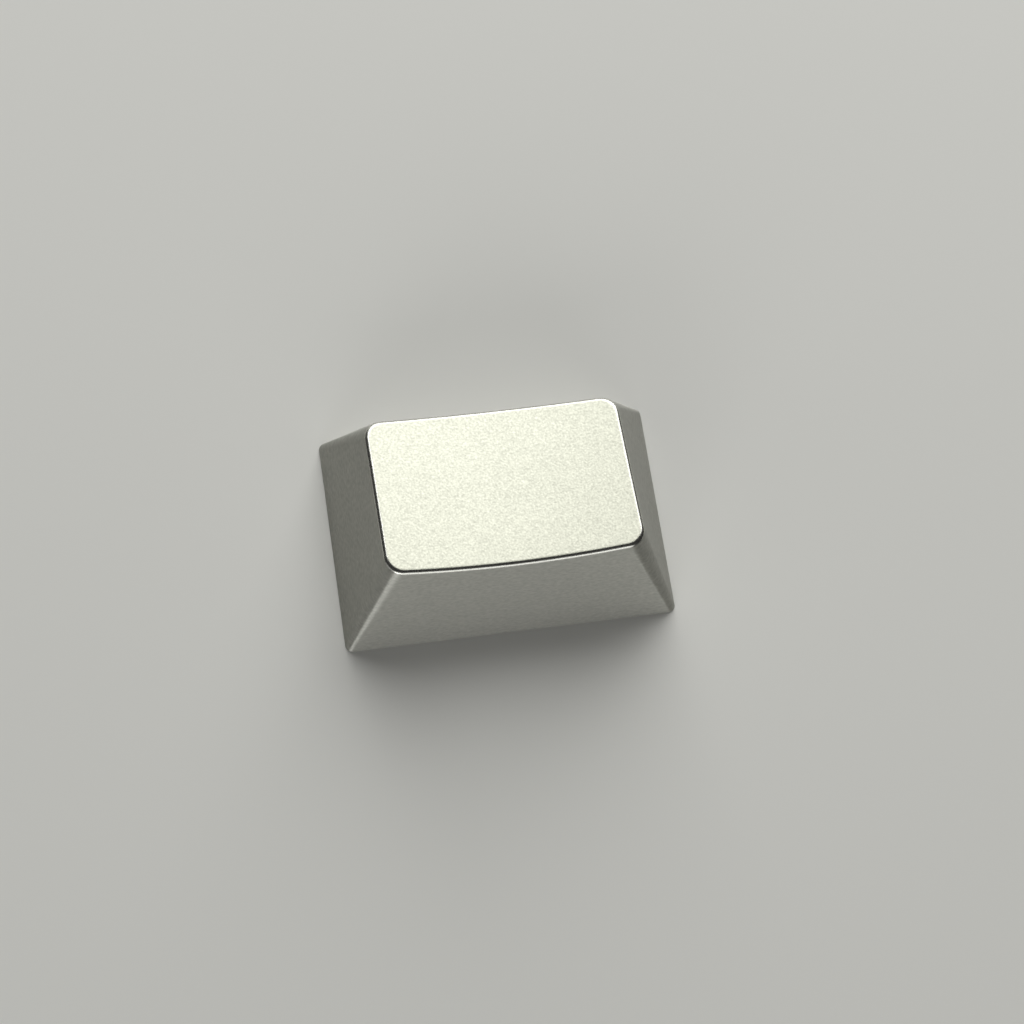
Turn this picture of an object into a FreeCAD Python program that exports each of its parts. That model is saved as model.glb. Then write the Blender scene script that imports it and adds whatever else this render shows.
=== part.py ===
"""A sculpted metal keycap, one and a half grid units wide, for a key switch with a cross-shaped stem.

The cap is one solid: a hollow shell with drafted walls, a tilted top with a cylindrical dish,
and a round post under the roof that carries the cross socket.
Millimetres and degrees. The origin is on the post's axis, in the plane of the bottom rim.
+X runs along the wide side, +Y towards the back of the keyboard, +Z up.
"""

import FreeCAD, Part
import math
import os

from FreeCAD import Placement, Rotation, Vector

# Base outline, from the keyboard's grid
GRID_PITCH = 19.05
KEY_UNITS = 1.5
GRID_GAP = 1.2
BASE_CORNER_RADIUS = 0.55
RIM_CHAMFER = 0.12

# Top outline, measured in the plane of the tilted top
SIDE_DRAW_IN = 3.39
TOP_DEPTH = 13.4
TOP_SETBACK = 1.35
TOP_HEIGHT = 8.35
TOP_TILT = 9.8
TOP_CORNER_RADIUS = 1.55

# Dish in the top, sunk across the width, and the round where it meets the walls
DISH_DEPTH = 0.8
DISH_OVERRUN = 0.3
TOP_EDGE_ROUND = 0.4

# Hollow under the roof
WALL = 1.4
ROOF_THICKNESS = 1.5
POCKET_CORNER_RADIUS = 1.0
POCKET_ROOF_ROUND = 0.8

# Post and cross socket
POST_DIAMETER = 5.6
POST_RECESS = 0.6
POST_ROOT_ROUND = 0.5
SOCKET_SPAN = 4.1
SOCKET_SIDEWAYS_SLOT = 1.31
SOCKET_LENGTHWAYS_SLOT = 1.17
SOCKET_DEPTH = 4.0
SOCKET_LEAD_IN = 0.2

# Worked out from the sizes above
BASE_WIDTH = GRID_PITCH * KEY_UNITS - GRID_GAP
BASE_DEPTH = GRID_PITCH - GRID_GAP
TOP_WIDTH = BASE_WIDTH - 2 * SIDE_DRAW_IN
TOP_CENTRE = Vector(0, TOP_SETBACK, TOP_HEIGHT)
TOP_TURN = Rotation(Vector(1, 0, 0), -TOP_TILT)
TOP_NORMAL = TOP_TURN.multVec(Vector(0, 0, 1))
TOP_SLOPE = TOP_TURN.multVec(Vector(0, 1, 0))
BEYOND = BASE_WIDTH + BASE_DEPTH


def rounded_rectangle(width, depth, radius, placement=Placement()):
    """A closed wire of four sides and four corner arcs, centred on the placement."""
    edges = []
    for quarter in range(4):
        turn = Rotation(Vector(0, 0, 1), 90 * quarter)
        reach, half_side = (width / 2, depth / 2) if quarter % 2 == 0 else (depth / 2, width / 2)
        centre = Vector(reach - radius, half_side - radius, 0)
        side_start = turn.multVec(Vector(reach, radius - half_side, 0))
        arc_start = turn.multVec(centre + Vector(radius, 0, 0))
        arc_middle = turn.multVec(centre + Vector(radius, radius, 0) / math.sqrt(2))
        arc_end = turn.multVec(centre + Vector(0, radius, 0))
        edges.append(Part.LineSegment(side_start, arc_start).toShape())
        edges.append(Part.Arc(arc_start, arc_middle, arc_end).toShape())
    wire = Part.Wire(edges)
    wire.Placement = placement
    return wire


def drafted_block():
    """A block with ruled walls, from the base outline to the tilted top outline.

    The lowest stretch of the walls leans inwards, to break the edge of the rim.
    """
    chamfer = 2 * RIM_CHAMFER
    rim_radius = BASE_CORNER_RADIUS - RIM_CHAMFER
    rim = rounded_rectangle(BASE_WIDTH - chamfer, BASE_DEPTH - chamfer, rim_radius)
    base_place = Placement(Vector(0, 0, RIM_CHAMFER), Rotation())
    base = rounded_rectangle(BASE_WIDTH, BASE_DEPTH, BASE_CORNER_RADIUS, base_place)
    top_place = Placement(TOP_CENTRE, TOP_TURN)
    top = rounded_rectangle(TOP_WIDTH, TOP_DEPTH, TOP_CORNER_RADIUS, top_place)
    return Part.makeLoft([rim, base, top], True, True)


def dish_cylinder():
    """A cylinder along the top's slope, sunk into the middle of the top and clear of its sides."""
    half_chord = TOP_WIDTH / 2 + DISH_OVERRUN
    radius = (half_chord**2 + DISH_DEPTH**2) / (2 * DISH_DEPTH)
    axis_middle = TOP_CENTRE + TOP_NORMAL * (radius - DISH_DEPTH)
    return Part.makeCylinder(radius, 2 * BEYOND, axis_middle - TOP_SLOPE * BEYOND, TOP_SLOPE)


def outer_form():
    """The cap as a full block: drafted walls, dished top and a rounded top edge."""
    block = drafted_block().cut(dish_cylinder())
    dish = next(face for face in block.Faces if isinstance(face.Surface, Part.Cylinder))
    return block.makeFillet(TOP_EDGE_ROUND, dish.Edges)


def hole_edges(face):
    """The edges of the holes in a face."""
    return [edge for wire in face.Wires if not wire.isSame(face.OuterWire) for edge in wire.Edges]


def space_below_roof():
    """Everything under the roof's inner face, which is parallel to the tilted top."""
    space = Part.makeBox(2 * BEYOND, 2 * BEYOND, BEYOND, Vector(-BEYOND, -BEYOND, -BEYOND))
    space.Placement = Placement(TOP_CENTRE - TOP_NORMAL * (DISH_DEPTH + ROOF_THICKNESS), TOP_TURN)
    return space


def wall_at_top_height(base_y, top_edge):
    """Where the wall between a base edge and a top edge passes the height of the top's middle."""
    return base_y + (top_edge.y - base_y) * TOP_HEIGHT / top_edge.z


def level_corners(half_width, front, back, height):
    """The corners of a level rectangle, in turn."""
    sides = [(-1, front), (1, front), (1, back), (-1, back)]
    return [Vector(side * half_width, y, height) for side, y in sides]


def flat_sided_block(low, high):
    """A solid with flat faces between the corners of two level rectangles."""
    rings = [low[::-1], high]
    for corner in range(4):
        after = (corner + 1) % 4
        rings.append([low[corner], low[after], high[after], high[corner]])
    faces = [Part.Face(Part.makePolygon(ring + ring[:1])) for ring in rings]
    return Part.Solid(Part.Shell(faces))


def pocket():
    """The drafted pocket that leaves the walls standing, with its corners rounded."""
    half_depth = BASE_DEPTH / 2
    front = wall_at_top_height(-half_depth, TOP_CENTRE - TOP_SLOPE * (TOP_DEPTH / 2)) + WALL
    back = wall_at_top_height(half_depth, TOP_CENTRE + TOP_SLOPE * (TOP_DEPTH / 2)) - WALL
    low = level_corners(BASE_WIDTH / 2 - WALL, WALL - half_depth, half_depth - WALL, 0)
    high = level_corners(TOP_WIDTH / 2 - WALL, front, back, TOP_HEIGHT)
    block = flat_sided_block(low, high)
    corners = [edge for edge in block.Edges if edge.BoundBox.ZLength > TOP_HEIGHT / 2]
    return block.makeFillet(POCKET_CORNER_RADIUS, corners)


def hollow():
    """The space inside the cap round the post, with rounds where the roof meets wall and post."""
    post = Part.makeCylinder(POST_DIAMETER / 2, BEYOND, Vector(0, 0, POST_RECESS))
    space = pocket().common(space_below_roof()).cut(post)
    roof = max(space.Faces, key=lambda face: face.normalAt(0, 0).dot(TOP_NORMAL))
    post_edges = hole_edges(roof)
    space = space.makeFillet(POCKET_ROOF_ROUND, roof.OuterWire.Edges)
    return space.makeFillet(POST_ROOT_ROUND, post_edges)


def socket_slot(width, depth):
    """One slot of the cross socket, with a flared mouth."""
    half_width = width / 2
    half_depth = depth / 2
    outer = half_depth + SOCKET_LEAD_IN
    mouth = level_corners(half_width + SOCKET_LEAD_IN, -outer, outer, POST_RECESS)
    neck = level_corners(half_width, -half_depth, half_depth, POST_RECESS + SOCKET_LEAD_IN)
    slot = Part.makeBox(width, depth, SOCKET_DEPTH, Vector(-half_width, -half_depth, POST_RECESS))
    return slot.fuse(flat_sided_block(mouth, neck))


def cross_socket():
    """The cross-shaped hole in the post that grips the switch's stem."""
    sideways = socket_slot(SOCKET_SPAN, SOCKET_SIDEWAYS_SLOT)
    lengthways = socket_slot(SOCKET_LENGTHWAYS_SLOT, SOCKET_SPAN)
    return sideways.fuse(lengthways).removeSplitter()


def keycap():
    """The whole cap as one solid, with the inner edge of the rim broken as the outer one is."""
    cap = outer_form().cut(hollow()).cut(cross_socket())
    rim = min(cap.Faces, key=lambda face: face.BoundBox.ZMax)
    return cap.makeChamfer(RIM_CHAMFER, hole_edges(rim))


os.makedirs("parts", exist_ok=True)
keycap().exportStep("parts/keycap.step")
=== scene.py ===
"""The looks of a metal keycap: a blasted dish, a polished edge round, walls brushed and darkened in colour
as painted shade, and a matt hollow.

The cap is modelled in millimetres, from the same sizes as its solid, and scaled to metres at the end.
+X runs along the wide side, +Y towards the back of the keyboard, +Z up.
"""

import math

import bmesh
import bpy
from mathutils import Matrix, Quaternion, Vector
from mathutils.geometry import intersect_line_plane


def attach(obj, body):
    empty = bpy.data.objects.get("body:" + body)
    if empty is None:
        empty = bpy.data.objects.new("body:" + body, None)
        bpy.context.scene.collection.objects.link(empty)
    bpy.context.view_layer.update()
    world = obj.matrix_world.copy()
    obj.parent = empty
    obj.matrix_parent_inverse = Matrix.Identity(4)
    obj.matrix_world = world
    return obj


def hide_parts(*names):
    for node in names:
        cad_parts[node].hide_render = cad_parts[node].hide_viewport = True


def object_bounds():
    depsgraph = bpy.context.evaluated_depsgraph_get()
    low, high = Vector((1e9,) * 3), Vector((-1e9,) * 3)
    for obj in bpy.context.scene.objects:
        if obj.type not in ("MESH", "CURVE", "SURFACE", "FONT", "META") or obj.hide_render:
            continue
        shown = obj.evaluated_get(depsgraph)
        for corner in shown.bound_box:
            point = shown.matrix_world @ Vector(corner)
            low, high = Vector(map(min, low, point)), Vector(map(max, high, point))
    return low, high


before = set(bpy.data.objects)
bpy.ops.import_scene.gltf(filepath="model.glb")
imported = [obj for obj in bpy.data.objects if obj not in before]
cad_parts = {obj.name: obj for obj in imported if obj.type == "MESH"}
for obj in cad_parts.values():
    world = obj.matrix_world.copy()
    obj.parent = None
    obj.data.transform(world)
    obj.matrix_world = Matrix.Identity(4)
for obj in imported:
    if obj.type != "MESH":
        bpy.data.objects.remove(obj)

cad_low, cad_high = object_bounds()
MM = 0.001

# Base outline, from the frame, as width, depth and corner radius
BASE_WIDTH = (cad_high.x - cad_low.x) / MM
BASE_DEPTH = (cad_high.y - cad_low.y) / MM
BASE_RADIUS = 0.55
RIM_CHAMFER = 0.12
BASE_OUTLINE = (BASE_WIDTH, BASE_DEPTH, BASE_RADIUS)
RIM_OUTLINE = (BASE_WIDTH - 2 * RIM_CHAMFER, BASE_DEPTH - 2 * RIM_CHAMFER, BASE_RADIUS - RIM_CHAMFER)

# Top outline, in the plane of the tilted top
SIDE_DRAW_IN = 3.39
TOP_WIDTH = BASE_WIDTH - 2 * SIDE_DRAW_IN
TOP_DEPTH = 13.4
TOP_RADIUS = 1.55
TOP_OUTLINE = (TOP_WIDTH, TOP_DEPTH, TOP_RADIUS)
TOP_TILT = math.radians(9.8)
TOP_SETBACK = 1.35
TOP_HEIGHT = 8.35
TOP_CENTRE = Vector((0, TOP_SETBACK, TOP_HEIGHT))
TOP_NORMAL = Vector((0, math.sin(TOP_TILT), math.cos(TOP_TILT)))
TOP_SLOPE = Vector((0, math.cos(TOP_TILT), -math.sin(TOP_TILT)))

# Dish in the top, how far the round along its edge reaches, and the band that holds the round
DISH_DEPTH = 0.8
DISH_OVERRUN = 0.3
DISH_HALF_CHORD = TOP_WIDTH / 2 + DISH_OVERRUN
DISH_RADIUS = (DISH_HALF_CHORD**2 + DISH_DEPTH**2) / (2 * DISH_DEPTH)
EDGE_ROUND_REACH = 0.32
EDGE_BAND = 0.36

# Hollow under the roof
WALL = 1.4
ROOF_THICKNESS = 1.5
ROOF_POINT = TOP_CENTRE - TOP_NORMAL * (DISH_DEPTH + ROOF_THICKNESS)
POCKET_RADIUS = 1.0
POCKET_ROUND_REACH = 0.6

# Post and cross socket
POST_RADIUS = 2.8
POST_RECESS = 0.6
POST_ROOT_REACH = 0.5
SOCKET_SPAN = 4.1
SOCKET_SIDEWAYS_SLOT = 1.31
SOCKET_LENGTHWAYS_SLOT = 1.17
SOCKET_DEPTH = 4.0
SOCKET_LEAD_IN = 0.2

# Fineness of the mesh, and how bevels are set to make arcs and to leave the finish of faces alone
CORNER_STEPS = 10
SIDE_STEPS = 24
ROUND_STEPS = 6
WALL_ROWS = 6
POST_STEPS = 64
SAME_PLACE = 0.001
SHARP_ANGLE = math.radians(32)
ARC = {"profile": 0.5, "material": -1}

# Zones of the cap, in the order of their material slots
DISH, EDGE, WALLS, HOLLOW = range(4)
WALL_MAP = "up the wall"

# Finishes of the cap: contrast is how far the marks vary the colour, and relief is how high they stand
DISH_FINISH = {"colour": (0.64, 0.645, 0.55), "roughness": 0.58, "contrast": 0.56, "relief": 0.012}
EDGE_FINISH = {"colour": (0.6, 0.6, 0.548), "roughness": 0.28, "contrast": 0.4, "relief": 0.005}
# The walls' colour is darker than the dish's metal: partly the brushed finish, and partly painted shade
# from the dim room put into the colour
WALL_FINISH_WITH_PAINTED_SHADE = {"colour": (0.44, 0.44, 0.402), "roughness": 0.38, "contrast": 0.6, "relief": 0.003}
HOLLOW_FINISH = {"colour": (0.46, 0.46, 0.43), "roughness": 0.5, "contrast": 0.4, "relief": 0.008}
WALL_BRUSHING = 0.9

# Sizes of the marks in the finishes, across X, Y and Z
GRAIN_SIZE = Vector((0.17, 0.17, 0.17))
GRAIN_CLOUD_SIZE = Vector((2.5, 2.5, 2.5))
BRUSH_LINE_SIZE = Vector((0.4, 0.4, 0.14))
BRUSH_BAND_SIZE = Vector((1.5, 1.5, 0.5))

# How marks mix: the middle of a noise, the share of the clouds, and how much smoother bright marks are
NOISE_MIDDLE = 0.5
CLOUD_SHARE = 0.06
SMOOTHER_SHARE = 0.25

# Floor and lamps, in metres: an azimuth is degrees round from the front towards the right
FLOOR_COLOUR = (0.8, 0.8, 0.755)
FLOOR_ROUGHNESS = 0.9
FLOOR_GLOSS = 0.1
FLOOR_HALF_SIZE = 3
WORLD_COLOUR = (0.022, 0.022, 0.022)
LAMP_DISTANCE = 0.6
LAMPS = {
    "back light": {"azimuth": 166, "elevation": 34, "width": 0.62, "height": 0.62, "radiance": 3.6},
    "front light": {"azimuth": 2, "elevation": 17, "width": 0.42, "height": 0.34, "radiance": 1.65},
    "corner light": {"azimuth": -28, "elevation": 15, "width": 0.24, "height": 0.22, "radiance": 3.7},
    "side light": {"azimuth": -64, "elevation": 15, "width": 0.62, "height": 0.22, "radiance": 0.5},
}

# Camera, as the photograph was taken
CAMERA_TARGET = Vector((1.504, 1.196, 0)) * MM
CAMERA_DISTANCE = 170.466 * MM
CAMERA_AZIMUTH = -28.006
CAMERA_ELEVATION = 71.949
CAMERA_ROLL = math.radians(20.17)
CAMERA_LENS = 72.06
CAMERA_SENSOR = 36
NEAREST_SEEN = 0.01


def link(thing):
    """Puts an object in the scene."""
    bpy.context.scene.collection.objects.link(thing)


def direction(azimuth, elevation):
    """The way from the cap towards a place so many degrees round from the front and so many up."""
    turn = math.radians(azimuth)
    rise = math.radians(elevation)
    return Vector((math.sin(turn) * math.cos(rise), -math.cos(turn) * math.cos(rise), math.sin(rise)))


def once_each(items):
    """Items without repeats, in the order they come."""
    return list(dict.fromkeys(items))


def rounded_side(distance, half, radius, new_half, new_radius):
    """Where a place on one rounded side goes on another: flat to flat and arc to arc."""
    flat = half - radius
    new_flat = new_half - new_radius
    if abs(distance) <= flat:
        return distance * new_flat / flat
    return math.copysign(new_flat + (abs(distance) - flat) * new_radius / radius, distance)


def refit(point, outline, new_outline):
    """A point of one rounded rectangle, moved to the same place on another."""
    width, depth, radius = outline
    new_width, new_depth, new_radius = new_outline
    across = rounded_side(point.x, width / 2, radius, new_width / 2, new_radius)
    along = rounded_side(point.y, depth / 2, radius, new_depth / 2, new_radius)
    return across, along


def rounded_ring(bm, outline):
    """A closed ring of edges on the ground: a rectangle with round corners and divided sides."""
    width, depth, radius = outline
    signs = ((-1, -1), (1, -1), (1, 1), (-1, 1))
    corners = [bm.verts.new((x * width / 2, y * depth / 2, 0)) for x, y in signs]
    others = set(bm.faces)
    bm.faces.new(corners)
    bmesh.ops.bevel(bm, geom=corners, offset=radius, affect="VERTICES", segments=CORNER_STEPS, **ARC)
    plate = next(face for face in bm.faces if face not in others)
    ring = list(plate.edges)
    bmesh.ops.delete(bm, geom=[plate], context="FACES_ONLY")
    sides = [edge for edge in ring if edge.calc_length() > 2 * radius]
    divided = bmesh.ops.subdivide_edges(bm, edges=sides, cuts=SIDE_STEPS - 1)
    ring += [item for item in divided["geom_split"] if isinstance(item, bmesh.types.BMEdge)]
    return once_each(ring)


def ring_verts(ring):
    """The vertices of a ring of edges."""
    return once_each(vert for edge in ring for vert in edge.verts)


def grow(bm, ring, place):
    """Extrudes a ring of edges, puts each new vertex where place says, and gives the new ring."""
    grown = bmesh.ops.extrude_edge_only(bm, edges=ring)["geom"]
    verts = set(item for item in grown if isinstance(item, bmesh.types.BMVert))
    for vert in verts:
        vert.co = place(vert.co)
    return [item for item in grown if isinstance(item, bmesh.types.BMEdge) and verts.issuperset(item.verts)]


def fill(bm, ring):
    """One face across a ring of edges."""
    return bmesh.ops.contextual_create(bm, geom=ring)["faces"][0]


def round_edges(bm, edges, reach):
    """Rounds edges, reaching so far into the faces beside them, and gives the faces of the round."""
    rounded = bmesh.ops.bevel(
        bm, geom=edges, offset=reach, affect="EDGES", segments=ROUND_STEPS, loop_slide=True, **ARC
    )
    return rounded["faces"]


def zone_faces(bm, zone):
    """The faces that have the finish of one zone."""
    return set(face for face in bm.faces if face.material_index == zone)


def touches(face, others):
    """Whether a face shares an edge with one of some other faces."""
    return any(neighbour in others for edge in face.edges for neighbour in edge.link_faces)


def onto_dish(point):
    """A point moved along the top's normal onto the dish."""
    height = DISH_RADIUS - math.sqrt(DISH_RADIUS**2 - point.x**2) - DISH_DEPTH
    return point + TOP_NORMAL * (height - (point - TOP_CENTRE).dot(TOP_NORMAL))


def wall_meets_dish(foot, head):
    """Where the straight line up a wall, from its foot to the flat top outline, enters the dish."""
    axis = TOP_CENTRE + TOP_NORMAL * (DISH_RADIUS - DISH_DEPTH)
    start = Vector((foot.x, (foot - axis).dot(TOP_NORMAL)))
    step = Vector((head.x - foot.x, (head - foot).dot(TOP_NORMAL)))
    half_turn = start.dot(step) / step.length_squared
    rest = (start.length_squared - DISH_RADIUS**2) / step.length_squared
    return foot.lerp(head, -half_turn - math.sqrt(half_turn**2 - rest))


def edge_below(vert, ring):
    """The edge of the wall that runs down from a vertex of its upper ring."""
    return next(edge for edge in vert.link_edges if edge.other_vert(vert) not in ring)


def walls(bm):
    """The outside of the walls, from the bottom rim to the dish. Gives the ring where they meet it."""

    def to_base(point):
        return Vector((*refit(point, RIM_OUTLINE, BASE_OUTLINE), RIM_CHAMFER))

    def to_dish_edge(point):
        across, along = refit(point, BASE_OUTLINE, TOP_OUTLINE)
        return wall_meets_dish(point, TOP_CENTRE + Vector((across, 0, 0)) + TOP_SLOPE * along)

    base_ring = grow(bm, rounded_ring(bm, RIM_OUTLINE), to_base)
    edge_ring = grow(bm, base_ring, to_dish_edge)
    edge_verts = ring_verts(edge_ring)
    slopes = [edge_below(vert, edge_verts) for vert in edge_verts]
    bmesh.ops.subdivide_edges(bm, edges=slopes, cuts=WALL_ROWS - 1)
    edge_verts = ring_verts(edge_ring)
    for vert in edge_verts:
        below = edge_below(vert, edge_verts).other_vert(vert)
        below.co = vert.co + (below.co - vert.co).normalized() * EDGE_BAND
    for face in bm.faces:
        face.material_index = WALLS
    return edge_ring


def runs_sideways(edge):
    """Whether an edge runs more along the cap's width than along its depth."""
    run = edge.verts[1].co - edge.verts[0].co
    return abs(run.x) > abs(run.y)


def divide_dish(bm, middle):
    """Puts a grid of faces on the dish, in place of the one face across its middle."""
    front_and_back = [edge for edge in middle.edges if runs_sideways(edge)]
    bmesh.ops.delete(bm, geom=[middle], context="FACES_ONLY")
    grid = bmesh.ops.grid_fill(bm, edges=front_and_back, mat_nr=DISH, use_interp_simple=True)["faces"]
    for vert in set(vert for face in grid for vert in face.verts):
        vert.co = onto_dish(vert.co)


def dish(bm, edge_ring):
    """The dished top within the walls' upper ring, and the round along its edge.

    The lowest row of the round keeps the brushing of the walls, and the highest the grain of the dish.
    """
    middle = fill(bm, edge_ring)
    middle.material_index = DISH
    band = bmesh.ops.inset_region(bm, faces=[middle], thickness=EDGE_BAND, use_even_offset=True)["faces"]
    for face in band:
        face.material_index = DISH
    for vert in middle.verts:
        vert.co = onto_dish(vert.co)
    rounded = set(round_edges(bm, edge_ring, EDGE_ROUND_REACH))
    brushed = zone_faces(bm, WALLS) - rounded
    blasted = zone_faces(bm, DISH) - rounded
    for face in rounded:
        if touches(face, brushed):
            face.material_index = WALLS
        elif touches(face, blasted):
            face.material_index = DISH
        else:
            face.material_index = EDGE
    divide_dish(bm, middle)


def onto_roof(point):
    """The point straight above or below this one on the underside of the roof."""
    return intersect_line_plane(point, point + Vector((0, 0, 1)), ROOF_POINT, TOP_NORMAL)


def wall_at_top_height(base_y, top_edge):
    """Where the wall between a base edge and a top edge passes the height of the top's middle."""
    return base_y + (top_edge.y - base_y) * TOP_CENTRE.z / top_edge.z


def pocket(bm):
    """The drafted sides of the hollow, chamfered at the rim and rounded into the roof, which stays open."""
    low = (BASE_WIDTH - 2 * WALL, BASE_DEPTH - 2 * WALL, POCKET_RADIUS)
    front = wall_at_top_height(-BASE_DEPTH / 2, TOP_CENTRE - TOP_SLOPE * (TOP_DEPTH / 2)) + WALL
    back = wall_at_top_height(BASE_DEPTH / 2, TOP_CENTRE + TOP_SLOPE * (TOP_DEPTH / 2)) - WALL
    high = (TOP_WIDTH - 2 * WALL, back - front, POCKET_RADIUS)
    mouth = (low[0] + 2 * RIM_CHAMFER, low[1] + 2 * RIM_CHAMFER, POCKET_RADIUS + RIM_CHAMFER)

    def up_the_side(foot):
        across, along = refit(foot, low, high)
        return Vector((across, along + (front + back) / 2, TOP_CENTRE.z))

    def to_roof(foot):
        return intersect_line_plane(foot, up_the_side(foot), ROOF_POINT, TOP_NORMAL)

    def to_mouth(foot):
        return Vector((*refit(foot, low, mouth), 0))

    low_ring = rounded_ring(bm, low)
    roof_ring = grow(bm, low_ring, to_roof)
    grow(bm, low_ring, to_mouth)
    for vert in ring_verts(low_ring):
        vert.co = vert.co.lerp(up_the_side(vert.co), RIM_CHAMFER / TOP_CENTRE.z)
    fill(bm, roof_ring)
    round_edges(bm, roof_ring, POCKET_ROUND_REACH)
    roof = max(bm.faces, key=lambda face: len(face.verts))
    bmesh.ops.delete(bm, geom=[roof], context="FACES_ONLY")


def post(bm):
    """The round post under the roof, rounded into a narrow flange of the roof."""
    place = Matrix.Translation((0, 0, POST_RECESS))
    circle = bmesh.ops.create_circle(bm, segments=POST_STEPS, radius=POST_RADIUS, matrix=place)["verts"]
    mouth_ring = once_each(edge for vert in circle for edge in vert.link_edges)
    root_ring = grow(bm, mouth_ring, onto_roof)
    spread = (POST_RADIUS + 2 * POST_ROOT_REACH) / POST_RADIUS
    grow(bm, root_ring, lambda point: onto_roof(Vector((point.x * spread, point.y * spread, 0))))
    round_edges(bm, root_ring, POST_ROOT_REACH)


def cross_socket(bm):
    """The cross-shaped socket, with a flared mouth and a flat floor."""
    span = SOCKET_SPAN / 2 + SOCKET_LEAD_IN
    sideways = SOCKET_SIDEWAYS_SLOT / 2 + SOCKET_LEAD_IN
    lengthways = SOCKET_LENGTHWAYS_SLOT / 2 + SOCKET_LEAD_IN
    quarter = [(span, sideways), (lengthways, sideways), (lengthways, span)]
    outline = []
    for x, y in ((1, 1), (-1, 1), (-1, -1), (1, -1)):
        corner = [(x * across, y * along) for across, along in quarter]
        outline += corner if x == y else corner[::-1]
    verts = [bm.verts.new((x, y, POST_RECESS)) for x, y in outline]
    mouth_ring = [bm.edges.new((vert, verts[place - 1])) for place, vert in enumerate(verts)]

    def to_neck(point):
        across = point.x - math.copysign(SOCKET_LEAD_IN, point.x)
        along = point.y - math.copysign(SOCKET_LEAD_IN, point.y)
        return Vector((across, along, POST_RECESS + SOCKET_LEAD_IN))

    neck_ring = grow(bm, mouth_ring, to_neck)
    floor_ring = grow(bm, neck_ring, lambda point: Vector((point.x, point.y, POST_RECESS + SOCKET_DEPTH)))
    fill(bm, floor_ring)


def fill_between(bm, is_level):
    """Flat faces between the open rings whose vertices all pass a test."""
    open_edges = [edge for edge in bm.edges if edge.is_boundary]
    rings = [edge for edge in open_edges if all(is_level(vert.co) for vert in edge.verts)]
    bmesh.ops.triangle_fill(bm, edges=rings, use_beauty=True)


def close_underside(bm):
    """The flat faces that join the rings of the underside: bottom rim, mouth of the post and roof."""
    fill_between(bm, lambda point: abs(point.z) < SAME_PLACE)
    fill_between(bm, lambda point: abs(point.z - POST_RECESS) < SAME_PLACE)
    fill_between(bm, lambda point: abs((point - ROOF_POINT).dot(TOP_NORMAL)) < SAME_PLACE)


def map_walls(bm):
    """Gives each face a map of its own that runs up the wall, for the lie of the brushing."""
    wall_map = bm.loops.layers.uv.new(WALL_MAP)
    up = Vector((0, 0, 1))
    for face in bm.faces:
        along = up.cross(face.normal).normalized()
        for loop in face.loops:
            loop[wall_map].uv = (loop.vert.co.z, loop.vert.co.dot(along))


def keycap_piece():
    """The whole cap as one closed mesh, with each face's material index set to its zone."""
    bm = bmesh.new()
    dish(bm, walls(bm))
    outside = set(bm.faces)
    pocket(bm)
    post(bm)
    cross_socket(bm)
    close_underside(bm)
    for face in bm.faces:
        face.smooth = True
        if face not in outside:
            face.material_index = HOLLOW
    bmesh.ops.recalc_face_normals(bm, faces=bm.faces)
    map_walls(bm)
    bmesh.ops.transform(bm, matrix=Matrix.Scale(MM, 4), verts=bm.verts)
    mesh = bpy.data.meshes.new("dressed_keycap")
    bm.to_mesh(mesh)
    bm.free()
    mesh.set_sharp_from_angle(angle=SHARP_ANGLE)
    piece = bpy.data.objects.new("dressed_keycap", mesh)
    link(piece)
    shading = piece.modifiers.new("large faces stay flat", "WEIGHTED_NORMAL")
    shading.mode = "FACE_AREA_WITH_ANGLE"
    shading.keep_sharp = True
    return piece


def marks(tree, size):
    """A noise in a node tree whose marks have this size in millimetres across X, Y and Z."""
    place = tree.nodes.new("ShaderNodeTexCoord")
    stretch = tree.nodes.new("ShaderNodeMapping")
    stretch.inputs["Scale"].default_value = [1 / (length * MM) for length in size]
    noise = tree.nodes.new("ShaderNodeTexNoise")
    noise.inputs["Scale"].default_value = 1
    tree.links.new(place.outputs["Object"], stretch.inputs["Vector"])
    tree.links.new(stretch.outputs["Vector"], noise.inputs["Vector"])
    return noise.outputs["Fac"]


def calculate(tree, operation, *values):
    """A sum in a node tree, of numbers and of other nodes' outputs."""
    node = tree.nodes.new("ShaderNodeMath")
    node.operation = operation
    for socket, value in zip(node.inputs, values):
        if isinstance(value, bpy.types.NodeSocket):
            tree.links.new(value, socket)
        else:
            socket.default_value = value
    return node.outputs["Value"]


def finish_group(name, mark_size, cloud_size):
    """A node group that varies a colour and a roughness by fine marks and broad clouds.

    Contrast is how far the colour goes up and down. Height is the pattern itself, for a bump.
    """
    tree = bpy.data.node_groups.new(name, "ShaderNodeTree")
    for way, names in (("INPUT", ("Roughness", "Contrast")), ("OUTPUT", ("Roughness", "Height"))):
        tree.interface.new_socket("Color", in_out=way, socket_type="NodeSocketColor")
        for socket in names:
            tree.interface.new_socket(socket, in_out=way, socket_type="NodeSocketFloat")
    given = tree.nodes.new("NodeGroupInput").outputs
    result = tree.nodes.new("NodeGroupOutput").inputs

    fine = calculate(tree, "MULTIPLY", marks(tree, mark_size), 1 - CLOUD_SHARE)
    pattern = calculate(tree, "MULTIPLY_ADD", marks(tree, cloud_size), CLOUD_SHARE, fine)
    departure = calculate(tree, "SUBTRACT", pattern, NOISE_MIDDLE)
    swing = calculate(tree, "MULTIPLY", departure, given["Contrast"])
    shade = tree.nodes.new("ShaderNodeVectorMath")
    shade.operation = "SCALE"
    tree.links.new(given["Color"], shade.inputs["Vector"])
    tree.links.new(calculate(tree, "ADD", swing, 1), shade.inputs["Scale"])
    tree.links.new(shade.outputs["Vector"], result["Color"])
    roughness = calculate(tree, "MULTIPLY_ADD", swing, -SMOOTHER_SHARE, given["Roughness"])
    tree.links.new(roughness, result["Roughness"])
    tree.links.new(pattern, result["Height"])
    return tree


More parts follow.
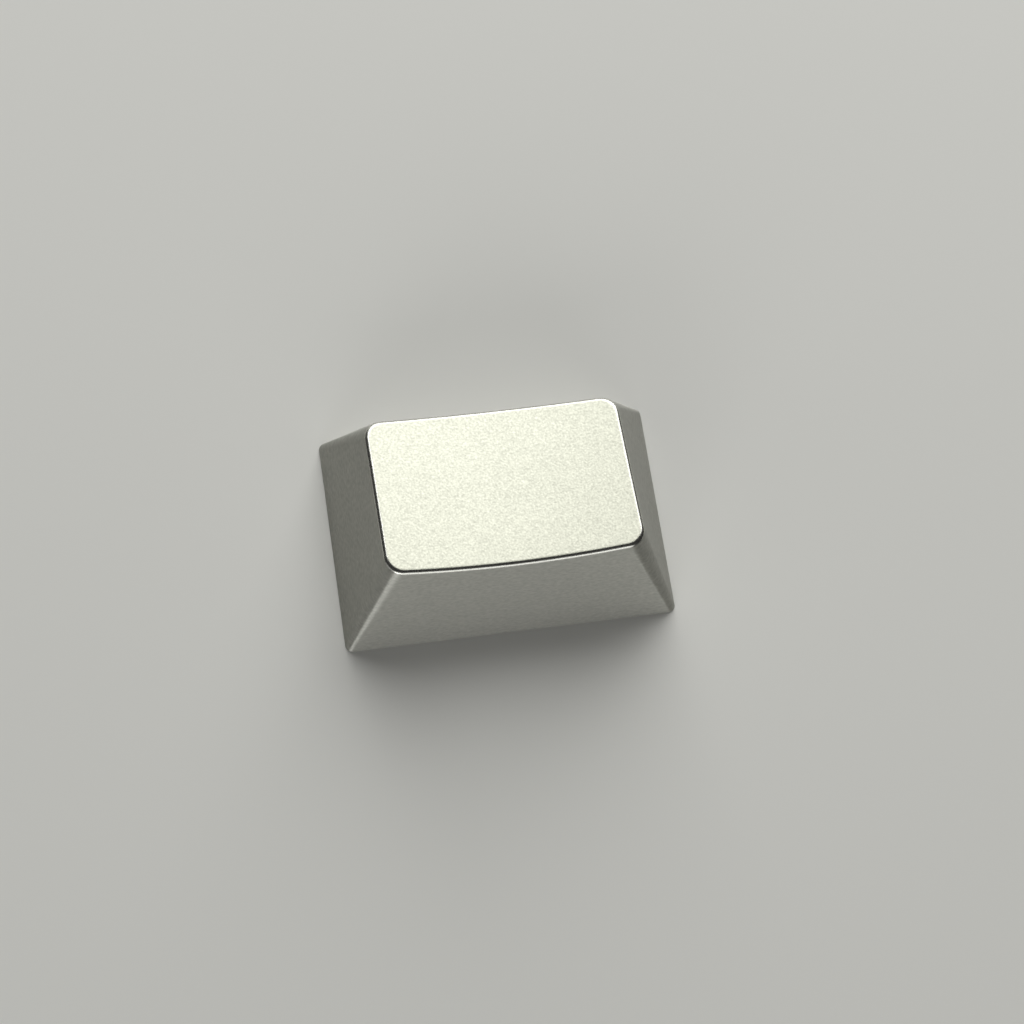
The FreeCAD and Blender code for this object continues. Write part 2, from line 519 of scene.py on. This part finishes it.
def metal(name, marking, colour, roughness, contrast, relief):
    """A metal marked by one of the finish groups, whose pattern also stands in relief."""
    material = bpy.data.materials.new(name)
    material.use_nodes = True
    nodes = material.node_tree.nodes
    links = material.node_tree.links
    shader = nodes["Principled BSDF"]
    shader.inputs["Metallic"].default_value = 1
    pattern = nodes.new("ShaderNodeGroup")
    pattern.node_tree = marking
    pattern.inputs["Color"].default_value = (*colour, 1)
    pattern.inputs["Roughness"].default_value = roughness
    pattern.inputs["Contrast"].default_value = contrast
    bump = nodes.new("ShaderNodeBump")
    bump.inputs["Distance"].default_value = relief * MM
    links.new(pattern.outputs["Color"], shader.inputs["Base Color"])
    links.new(pattern.outputs["Roughness"], shader.inputs["Roughness"])
    links.new(pattern.outputs["Height"], bump.inputs["Height"])
    links.new(bump.outputs["Normal"], shader.inputs["Normal"])
    return material


def brush_sideways(material):
    """Spreads a metal's gloss up and down the wall, as brushing along the wall does."""
    shader = material.node_tree.nodes["Principled BSDF"]
    shader.inputs["Anisotropic"].default_value = WALL_BRUSHING
    up_the_wall = material.node_tree.nodes.new("ShaderNodeTangent")
    up_the_wall.direction_type = "UV_MAP"
    up_the_wall.uv_map = WALL_MAP
    material.node_tree.links.new(up_the_wall.outputs["Tangent"], shader.inputs["Tangent"])


def cap_finishes():
    """The four finishes of the cap, in the order of its zones."""
    grain = finish_group("blasted grain", GRAIN_SIZE, GRAIN_CLOUD_SIZE)
    lines = finish_group("brush lines", BRUSH_LINE_SIZE, BRUSH_BAND_SIZE)
    blasted_dish = metal("blasted dish", grain, **DISH_FINISH)
    polished_edge = metal("polished edge", grain, **EDGE_FINISH)
    # The brushed walls' darker colour holds painted shade
    brushed_walls_with_painted_shade = metal("brushed walls with painted shade", lines, **WALL_FINISH_WITH_PAINTED_SHADE)
    matt_hollow = metal("matt hollow", grain, **HOLLOW_FINISH)
    brush_sideways(brushed_walls_with_painted_shade)
    return blasted_dish, polished_edge, brushed_walls_with_painted_shade, matt_hollow


def floor():
    """A plain pale sheet under the cap."""
    bm = bmesh.new()
    bmesh.ops.create_grid(bm, x_segments=1, y_segments=1, size=FLOOR_HALF_SIZE)
    mesh = bpy.data.meshes.new("floor")
    bm.to_mesh(mesh)
    bm.free()
    sheet = bpy.data.objects.new("floor", mesh)
    link(sheet)
    material = bpy.data.materials.new("pale sheet")
    material.use_nodes = True
    shader = material.node_tree.nodes["Principled BSDF"]
    shader.inputs["Base Color"].default_value = (*FLOOR_COLOUR, 1)
    shader.inputs["Roughness"].default_value = FLOOR_ROUGHNESS
    shader.inputs["Specular IOR Level"].default_value = FLOOR_GLOSS
    mesh.materials.append(material)


def softbox(name, azimuth, elevation, width, height, radiance):
    """A flat lamp that faces the cap and stays out of the camera's sight."""
    towards = direction(azimuth, elevation)
    lamp = bpy.data.lights.new(name, "AREA")
    lamp.shape = "RECTANGLE"
    lamp.size = width
    lamp.size_y = height
    lamp.energy = radiance * width * height * math.pi
    holder = bpy.data.objects.new(name, lamp)
    holder.location = towards * LAMP_DISTANCE
    holder.rotation_euler = towards.to_track_quat("Z", "Y").to_euler()
    holder.visible_camera = False
    link(holder)


def lights():
    """A wide bright softbox behind the cap, lower ones in front and at the left, and a dim room."""
    world = bpy.data.worlds.new("dim room")
    world.use_nodes = True
    world.node_tree.nodes["Background"].inputs["Color"].default_value = (*WORLD_COLOUR, 1)
    bpy.context.scene.world = world
    for name, settings in LAMPS.items():
        softbox(name, **settings)


def camera():
    """The camera at the photograph's place, turned about its own axis as it was held."""
    back = direction(CAMERA_AZIMUTH, CAMERA_ELEVATION)
    lens = bpy.data.cameras.new("camera")
    lens.sensor_width = CAMERA_SENSOR
    lens.lens = CAMERA_LENS
    lens.clip_start = NEAREST_SEEN
    holder = bpy.data.objects.new("camera", lens)
    holder.location = CAMERA_TARGET + back * CAMERA_DISTANCE
    holder.rotation_mode = "QUATERNION"
    holder.rotation_quaternion = (-back).to_track_quat("-Z", "Y") @ Quaternion((0, 0, 1), CAMERA_ROLL)
    link(holder)
    bpy.context.scene.camera = holder


cap = keycap_piece()
for finish in cap_finishes():
    cap.data.materials.append(finish)
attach(cap, "root")
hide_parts("keycap")
floor()
lights()
camera()
bpy.context.scene.view_settings.view_transform = "Standard"
